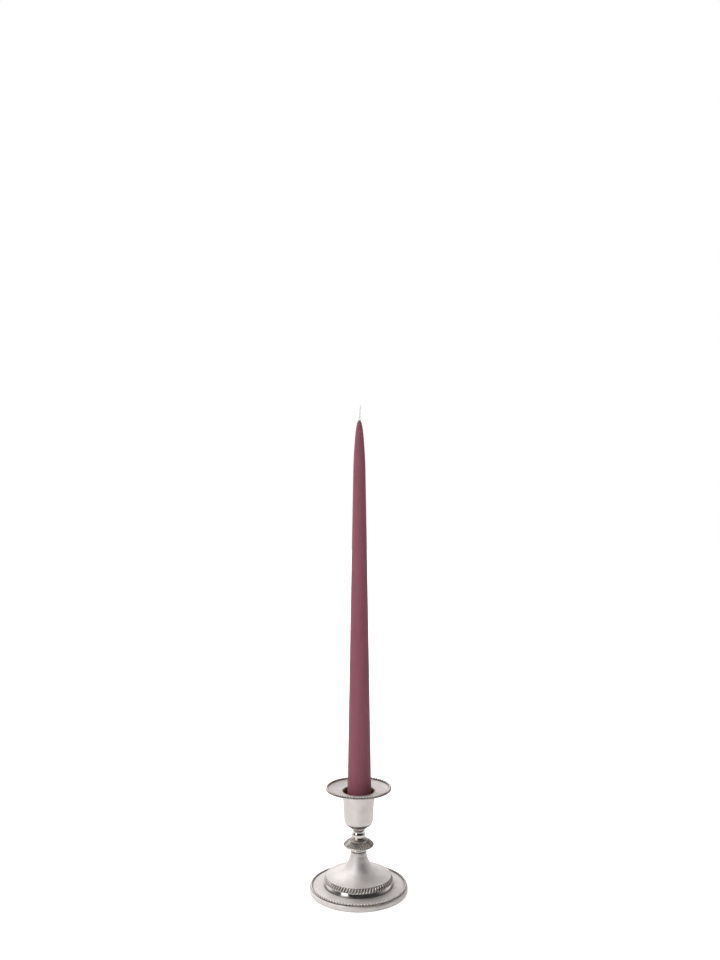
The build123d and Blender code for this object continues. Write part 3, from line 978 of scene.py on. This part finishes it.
class MESH_OT_candlestick_cup(bpy.types.Operator):
    """Spin the satin cup that the drip pan sits on"""

    bl_idname = "mesh.candlestick_cup"
    bl_label = "Cup"

    def execute(self, context):
        sizes = context.scene.candlestick_sizes
        cup, mount = Span("socket_cup"), Span("cup_mount")
        base = mount.radius
        shoulder = cup.low + sizes.cup_shoulder
        shoulder_radius = base + sizes.cup_shoulder_out
        wall, bore, floor = sizes.cup_wall, sizes.bore, cup.low + sizes.cup_floor
        outline = joined(
            [(bore, cup.low)],
            arc(
                (base, cup.low), (shoulder_radius - 0.26 * MM, cup.low + 1.39 * MM),
                (shoulder_radius, shoulder), 8,
            ),
            flow([(shoulder_radius, shoulder), (cup.radius, cup.high)], 8, (0.05, 1), (0.09, 1)),
            [(cup.radius - wall, cup.high), (shoulder_radius - wall, shoulder)],
            [(base - wall, floor), (bore, floor)],
        )
        spun("socket_cup", "candle_cup", outline, 224, "satin", 0.1)
        return {"FINISHED"}


# ---- operators: nozzle and candle


class MESH_OT_candlestick_nozzle(bpy.types.Operator):
    """Spin the lift-out drip pan and its brass sleeve"""

    bl_idname = "mesh.candlestick_nozzle"
    bl_label = "Drip pan and sleeve"

    def execute(self, context):
        sizes = context.scene.candlestick_sizes
        names = ("drip_pan", "pan_bead_border", "nozzle_sleeve", "socket_cup")
        pan, beads, sleeve, cup = map(Span, names)
        wall = sizes.sleeve_wall
        rim = pan.high
        seat = cup.high + 0.1 * MM  # the pan rests this far above the cup
        top = seat + sizes.pan_sheet
        rim_in = beads.radius - 2 * sizes.pan_bead_radius - 0.2 * MM
        mouth = sleeve.radius - wall
        hole = mouth + 0.09 * MM
        lip = sizes.pan_lip
        edge_in, under = pan.radius - sizes.pan_edge / 2, rim - sizes.pan_edge
        bend = lip * (1 - sqrt(0.5))  # the middle of the rounded lip
        outline = joined(
            [(mouth, pan.low)],
            arc((hole, top - lip), (hole + bend, top - bend), (hole + lip, top), 8),
            flow(
                [
                    (hole + lip, top), (hole + (rim_in - hole) * 0.6, top + (rim - top) * 0.42),
                    (rim_in, rim),
                ],
                10, (1, 0), (1, 0.2),
            ),
            arc((edge_in, rim), (pan.radius, rim - sizes.pan_edge / 2), (edge_in, under), 8),
            flow(
                [
                    (edge_in, under), (hole + (rim_in - hole) * 0.6, seat + (rim - top) * 0.42),
                    (cup.radius + 0.6 * MM, seat),
                ],
                8, (-1, -0.1), (-1, 0),
            ),
            [(mouth + wall + 0.09 * MM, seat), (mouth + wall, pan.low)],
        )
        # Round the hole the pan's collar takes the brown of brass, darkened as painted shade inside
        # the hole
        tarnish_and_shade = lambda co: 2.2 - (hypot(co.x, co.y) - hole) / (0.55 * lip)
        spun("drip_pan", "pan_dish", outline, 256, "satin", 0.06, tarnish_and_shade)

        floor_bore = mouth - 1.5 * MM
        outline = joined(
            [(0, sleeve.low), (floor_bore + wall - 0.4 * MM, sleeve.low)],
            [(floor_bore + wall, sleeve.low + 0.4 * MM), (sleeve.radius, sleeve.high)],
            [(mouth, sleeve.high), (floor_bore, sleeve.low + wall + 0.3 * MM)],
            [(floor_bore - 0.3 * MM, sleeve.low + wall), (0, sleeve.low + wall)],
        )
        spun("nozzle_sleeve", "candle_sleeve", outline, 160, "brass", 0.05, closed=False)
        return {"FINISHED"}


class MESH_OT_candlestick_candle(bpy.types.Operator):
    """Spin the long taper candle and twist its wick"""

    bl_idname = "mesh.candlestick_candle"
    bl_label = "Candle and wick"

    def execute(self, context):
        sizes = context.scene.candlestick_sizes
        wax, wick = Span("candle_wax"), Span("candle_wick")
        lost = 0.0177  # radius lost per metre of height
        shoulder = wax.high - sizes.candle_tip
        shoulder_radius = wax.radius - lost * (shoulder - wax.low)
        hole = 0.95 * MM
        side_steps = 60
        side = [
            (
                wax.radius - lost * (shoulder - wax.low) * i / side_steps,
                wax.low + 0.6 * MM + (shoulder - wax.low - 0.6 * MM) * i / side_steps,
            )
            for i in range(side_steps + 1)
        ]
        outline = joined(
            [(hole, wax.low), (wax.radius - 0.6 * MM, wax.low)], side,
            flow(
                [
                    (shoulder_radius, shoulder), (shoulder_radius - 1.55 * MM, wax.high - 18 * MM),
                    (hole + 1.7 * MM, wax.high - 4.6 * MM), (hole, wax.high),
                ],
                14, (-lost, 1), (-0.5, 1),
            ),
        )
        obj = turned("taper_candle", outline, 128, axis_x=wax.axis_x)
        smooth(obj, 50)
        place(obj, "candle_wax", finish("wax"))

        strands = []
        bottom = wax.high - 3 * MM
        climb = wick.high - bottom
        levels = 36
        strand_radius, strand_ring, strand_count = 0.56 * MM, 0.48 * MM, 3
        for index in range(strand_count):
            angle = tau * index / strand_count
            deselect_all()
            bpy.ops.mesh.primitive_circle_add(
                vertices=10, radius=strand_radius, fill_type="NGON",
                location=(
                    wax.axis_x + strand_ring * cos(angle), strand_ring * sin(angle), bottom,
                ),
            )
            strand = bpy.context.object
            bpy.ops.object.transform_apply(location=True, rotation=True, scale=True)
            edit()
            lean_before = 0.0
            for level in range(1, levels + 1):
                share = level / levels
                lean = 0.6 * MM * share**2 + 0.12 * MM * sin(share * 9)
                bpy.ops.mesh.extrude_region_move(
                    TRANSFORM_OT_translate={"value": (lean - lean_before, 0, climb / levels)}
                )
                bpy.ops.transform.rotate(
                    value=radians(26), orient_axis="Z",
                    center_override=(wax.axis_x + lean, 0, bottom + climb * share),
                )
                if level > levels - 3:
                    bpy.ops.transform.resize(value=(0.86, 0.86, 1))
                lean_before = lean
            leave_edit()
            strands.append(strand)
        obj = join("wick_braid", strands)
        smooth(obj, 70)
        place(obj, "candle_wick", finish("cotton"))
        return {"FINISHED"}


# ---- operator: the studio

# Brightness of the room round the stick, by degrees to the right of the camera.
WALLS = (
    (-180, 1.3), (-130, 1.6), (-105, 1.2), (-90, 0.4), (-70, 0.1), (-30, 0.04), (62, 0.06),
    (85, 0.36), (130, 0.95), (180, 1.3),
)
# Centre of the soft lights' aim, low on the stick.
TARGET = (0, 0, 0.08)


def area_light(name, power, size, height, azimuth, elevation, distance):
    """A soft rectangular light, placed by its direction from the target in degrees."""
    azimuth, elevation = radians(azimuth), radians(elevation)
    deselect_all()
    direction = (
        sin(azimuth) * cos(elevation), -cos(azimuth) * cos(elevation), sin(elevation),
    )
    location = [start + distance * part for start, part in zip(TARGET, direction)]
    bpy.ops.object.light_add(type="AREA", location=location)
    light = bpy.context.object
    light.name = light.data.name = name
    light.rotation_euler = (pi / 2 - elevation, 0, azimuth)
    light.data.energy = power
    light.data.shape = "RECTANGLE"
    light.data.size, light.data.size_y = size, height
    return light


class SCENE_OT_candlestick_stage(bpy.types.Operator):
    """Lay the pale floor, hang the soft lights and set the camera"""

    bl_idname = "scene.candlestick_stage"
    bl_label = "Studio"

    def execute(self, context):
        stage = context.scene.candlestick_stage
        scene = context.scene
        deselect_all()
        bpy.ops.mesh.primitive_plane_add(size=12, location=(0, 0, 0))
        floor = bpy.context.object
        floor.name = floor.data.name = "studio_floor"
        floor.data.materials.append(finish("floor"))

        area_light("key_light", stage.key_power, 0.45, 1.1, -45, 22, 1.1)
        # Only the wax, the felt and the floor see these two: silver mirrors the room instead.
        for light in (
            area_light("top_light", stage.top_power, 1.5, 1.5, 0, 89.9, 1.5),
            area_light("fill_light", stage.fill_power, 0.5, 1.0, -10, 30, 1.3),
        ):
            light.visible_glossy = False
        self.make_world(scene)

        deselect_all()
        bpy.ops.object.camera_add(
            location=(stage.side, -stage.distance, stage.height), rotation=(stage.tilt, 0, 0)
        )
        camera = bpy.context.object
        camera.name = camera.data.name = "camera"
        camera.data.lens = stage.lens
        camera.data.sensor_width = 36
        camera.data.clip_start = 0.01
        scene.camera = camera
        scene.view_settings.view_transform = "Standard"
        return {"FINISHED"}

    def make_world(self, scene):
        """A room that is bright on the left and above it, dark where the camera stands and
        grey at the far right, which is what gives polished silver its contrast."""
        stage = scene.candlestick_stage
        world = bpy.data.worlds.new("studio_room")
        scene.world = world
        world.use_nodes = True
        tree = world.node_tree
        tree.nodes.clear()
        way = add(tree, "ShaderNodeTexCoord").outputs["Generated"]
        parts = add(tree, "ShaderNodeSeparateXYZ", {0: way})
        x, y, z = parts.outputs
        ahead = add(tree, "ShaderNodeMath", {0: y, 1: -1.0}, operation="MULTIPLY").outputs[0]
        turned_by = add(tree, "ShaderNodeMath", {0: x, 1: ahead}, operation="ARCTAN2").outputs[0]
        way_round = spread(tree, turned_by, -pi, pi, 0.0, 1.0)
        walls = ramp(tree, way_round, WALLS)
        # The ceiling is bright to the left and dim over the stick and to its right.
        dim_ceiling, soft_edge = 0.14, 0.18
        ceiling = spread(tree, x, -0.32, -0.1, stage.ceiling_level, dim_ceiling)
        height = spread(tree, z, stage.ceiling_start, stage.ceiling_start + soft_edge, 0.0, 1.0)
        room = blend(tree, height, walls, ceiling)
        seen = add(tree, "ShaderNodeLightPath").outputs["Is Camera Ray"]
        view = blend(tree, seen, room, (1.0, 1.0, 1.0))
        surround = add(tree, "ShaderNodeBackground", {"Color": view, "Strength": 1.0})
        add(tree, "ShaderNodeOutputWorld", {"Surface": surround.outputs[0]})


class VIEW3D_PT_candlestick(bpy.types.Panel):
    """Buttons and settings for the candlestick"""

    bl_idname = "VIEW3D_PT_candlestick"
    bl_label = "Candlestick"
    bl_space_type = "VIEW_3D"
    bl_region_type = "UI"
    bl_category = "Candlestick"

    def draw(self, context):
        for operator in OPERATORS:
            self.layout.operator(operator.bl_idname)
        for group in SETTINGS:
            settings = getattr(context.scene, group)
            for name in settings.__annotations__:
                self.layout.prop(settings, name)


OPERATORS = (
    MESH_OT_candlestick_foot,
    MESH_OT_candlestick_beads,
    MESH_OT_candlestick_step,
    MESH_OT_candlestick_pedestal,
    MESH_OT_candlestick_knop,
    MESH_OT_candlestick_neck,
    MESH_OT_candlestick_cup,
    MESH_OT_candlestick_nozzle,
    MESH_OT_candlestick_candle,
    SCENE_OT_candlestick_stage,
)
SETTINGS = {
    "candlestick_sizes": CandlestickSizes,
    "candlestick_finishes": CandlestickFinishes,
    "candlestick_stage": CandlestickStage,
}
CLASSES = (*SETTINGS.values(), *OPERATORS, VIEW3D_PT_candlestick)


def register():
    for cls in CLASSES:
        bpy.utils.register_class(cls)
    for name, group in SETTINGS.items():
        setattr(bpy.types.Scene, name, PointerProperty(type=group))


def unregister():
    for name in SETTINGS:
        delattr(bpy.types.Scene, name)
    for cls in reversed(CLASSES):
        bpy.utils.unregister_class(cls)


def main():
    register()
    deselect_all()
    for operator in OPERATORS:
        group, action = operator.bl_idname.split(".")
        if getattr(getattr(bpy.ops, group), action)() != {"FINISHED"}:
            raise RuntimeError(f"{operator.bl_label} didn't finish")


if __name__ == "__main__":
    main()
